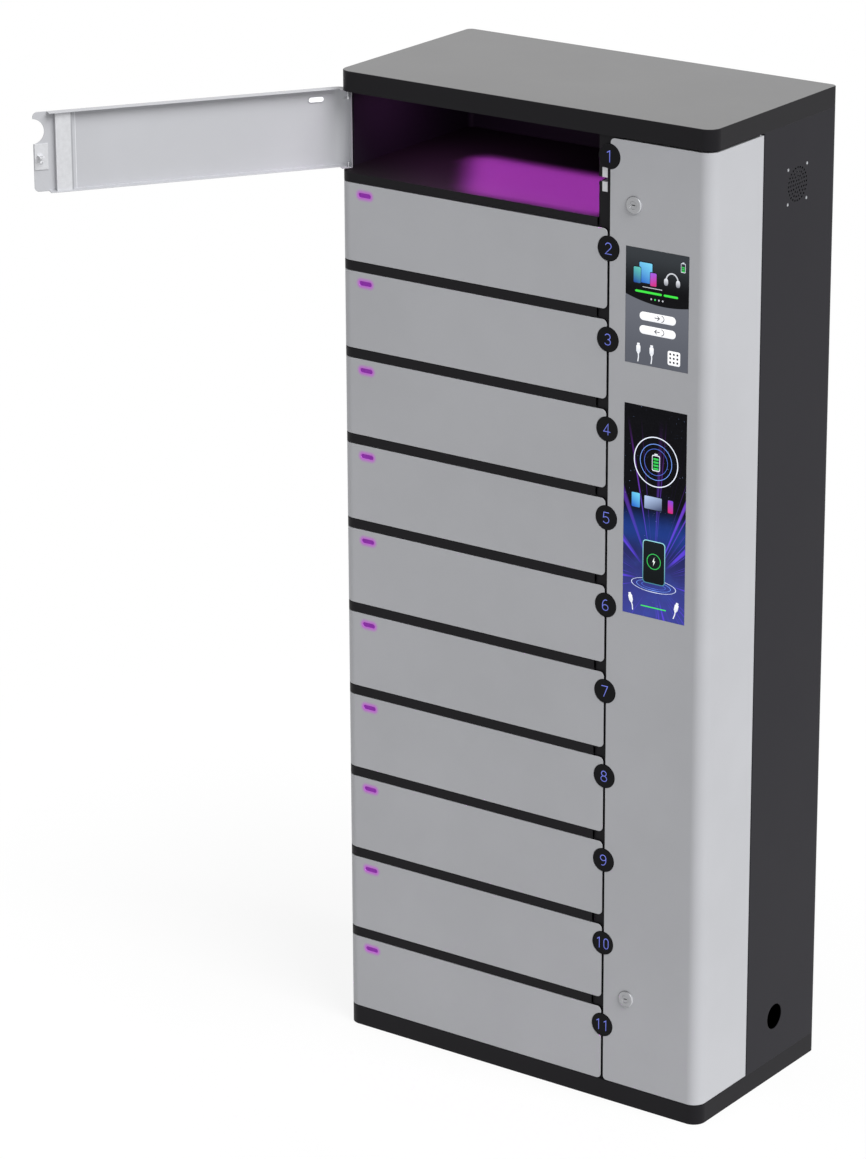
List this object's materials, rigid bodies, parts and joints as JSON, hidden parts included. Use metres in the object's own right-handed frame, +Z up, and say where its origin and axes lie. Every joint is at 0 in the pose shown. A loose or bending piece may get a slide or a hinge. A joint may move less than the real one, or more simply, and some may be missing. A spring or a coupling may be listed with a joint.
{
  "type": "charging locker",
  "caption": "Tall free-standing charging locker: lit compartments with sprung sheet-steel doors and numbered badges beside a service door with a touch screen and an advert display.",
  "frame": {"origin": "middle of the plinth's underside, on the floor", "axes": "+Z up, the doors face -Y, and the service door is on the +X side"},
  "size_m": [1.1625, 0.8637, 1.9],
  "materials": {
    "frame_black": "satin black powder coat",
    "side_black": "satin charcoal powder coat",
    "inner_black": "satin black powder coat",
    "door_silver": "fine silver powder coat",
    "badge": "gloss black",
    "lens": "opal diffuser",
    "lamp": "opal diffuser over a light strip",
    "socket_plastic": "moulded black",
    "lock_steel": "bright zinc plate",
    "zinc_steel": "zinc plated",
    "screen_glass": "gloss cover glass",
    "lock_chrome": "polished",
    "fan_plastic": "moulded black",
    "supply_case": "pressed case",
    "board": "solder mask"
  },
  "bodies": {
    "cabinet": {"base_plinth": "frame_black", "top_cap": "frame_black", "front_rails": "frame_black", "left_side_panel": "side_black", "right_side_panel": "side_black", "back_panel": "side_black", "ceiling_panel": "inner_black", "divider_wall": "inner_black", "shelf_panels": "inner_black", "shelf_brackets": "inner_black", "centre_post": "inner_black", "number_badges": "badge", "compartment_lamps": "lamp", "charge_sockets": "socket_plastic", "door_locks": "lock_steel", "hinge_pins": "zinc_steel", "fan_frame": "fan_plastic", "power_supply": "supply_case", "controller_board": "board"},
    "compartment_door_01": {"door_01": "door_silver", "door_01_lens": "lens", "door_01_fittings": "zinc_steel"},
    "compartment_door_02": {"door_02": "door_silver", "door_02_lens": "lens", "door_02_fittings": "zinc_steel"},
    "compartment_door_03": {"door_03": "door_silver", "door_03_lens": "lens", "door_03_fittings": "zinc_steel"},
    "compartment_door_04": {"door_04": "door_silver", "door_04_lens": "lens", "door_04_fittings": "zinc_steel"},
    "compartment_door_05": {"door_05": "door_silver", "door_05_lens": "lens", "door_05_fittings": "zinc_steel"},
    "compartment_door_06": {"door_06": "door_silver", "door_06_lens": "lens", "door_06_fittings": "zinc_steel"},
    "compartment_door_07": {"door_07": "door_silver", "door_07_lens": "lens", "door_07_fittings": "zinc_steel"},
    "compartment_door_08": {"door_08": "door_silver", "door_08_lens": "lens", "door_08_fittings": "zinc_steel"},
    "compartment_door_09": {"door_09": "door_silver", "door_09_lens": "lens", "door_09_fittings": "zinc_steel"},
    "compartment_door_10": {"door_10": "door_silver", "door_10_lens": "lens", "door_10_fittings": "zinc_steel"},
    "compartment_door_11": {"door_11": "door_silver", "door_11_lens": "lens", "door_11_fittings": "zinc_steel"},
    "service_access_door": {"service_door": "door_silver", "touch_screen": "screen_glass", "advert_panel": "screen_glass", "cam_lock_bodies": "lock_chrome"},
    "upper_cam_lock_plug": {"upper_lock_plug": "lock_chrome"},
    "lower_cam_lock_plug": {"lower_lock_plug": "lock_chrome"},
    "fan_rotor": {"fan_impeller": "fan_plastic"}
  },
  "joints": [
    {"name": "door_01_hinge", "type": "hinge", "parent": "cabinet", "child": "compartment_door_01", "pos_m": [-0.4, -0.1825, 1.78636], "axis": [0, 0, -1], "range_deg": [-125, 0]},
    {"name": "door_02_hinge", "type": "hinge", "parent": "cabinet", "child": "compartment_door_02", "pos_m": [-0.4, -0.1825, 1.61909], "axis": [0, 0, -1], "range_deg": [0, 125]},
    {"name": "door_03_hinge", "type": "hinge", "parent": "cabinet", "child": "compartment_door_03", "pos_m": [-0.4, -0.1825, 1.45182], "axis": [0, 0, -1], "range_deg": [0, 125]},
    {"name": "door_04_hinge", "type": "hinge", "parent": "cabinet", "child": "compartment_door_04", "pos_m": [-0.4, -0.1825, 1.28455], "axis": [0, 0, -1], "range_deg": [0, 125]},
    {"name": "door_05_hinge", "type": "hinge", "parent": "cabinet", "child": "compartment_door_05", "pos_m": [-0.4, -0.1825, 1.11727], "axis": [0, 0, -1], "range_deg": [0, 125]},
    {"name": "door_06_hinge", "type": "hinge", "parent": "cabinet", "child": "compartment_door_06", "pos_m": [-0.4, -0.1825, 0.95], "axis": [0, 0, -1], "range_deg": [0, 125]},
    {"name": "door_07_hinge", "type": "hinge", "parent": "cabinet", "child": "compartment_door_07", "pos_m": [-0.4, -0.1825, 0.78273], "axis": [0, 0, -1], "range_deg": [0, 125]},
    {"name": "door_08_hinge", "type": "hinge", "parent": "cabinet", "child": "compartment_door_08", "pos_m": [-0.4, -0.1825, 0.61545], "axis": [0, 0, -1], "range_deg": [0, 125]},
    {"name": "door_09_hinge", "type": "hinge", "parent": "cabinet", "child": "compartment_door_09", "pos_m": [-0.4, -0.1825, 0.44818], "axis": [0, 0, -1], "range_deg": [0, 125]},
    {"name": "door_10_hinge", "type": "hinge", "parent": "cabinet", "child": "compartment_door_10", "pos_m": [-0.4, -0.1825, 0.28091], "axis": [0, 0, -1], "range_deg": [0, 125]},
    {"name": "door_11_hinge", "type": "hinge", "parent": "cabinet", "child": "compartment_door_11", "pos_m": [-0.4, -0.1825, 0.11364], "axis": [0, 0, -1], "range_deg": [0, 125]},
    {"name": "service_door_hinge", "type": "hinge", "parent": "cabinet", "child": "service_access_door", "pos_m": [0.4, -0.0465, 0.95], "axis": [0, 0, 1], "range_deg": [0, 110]},
    {"name": "upper_lock_turn", "type": "hinge", "parent": "service_access_door", "child": "upper_cam_lock_plug", "pos_m": [0.2435, -0.2, 1.7445], "axis": [0, 1, 0], "range_deg": [0, 90]},
    {"name": "lower_lock_turn", "type": "hinge", "parent": "service_access_door", "child": "lower_cam_lock_plug", "pos_m": [0.2435, -0.2, 0.219], "axis": [0, 1, 0], "range_deg": [0, 90]},
    {"name": "fan_spin", "type": "hinge", "parent": "cabinet", "child": "fan_rotor", "pos_m": [0.39, 0.075, 1.746], "axis": [1, 0, 0], "continuous": true}
  ]
}
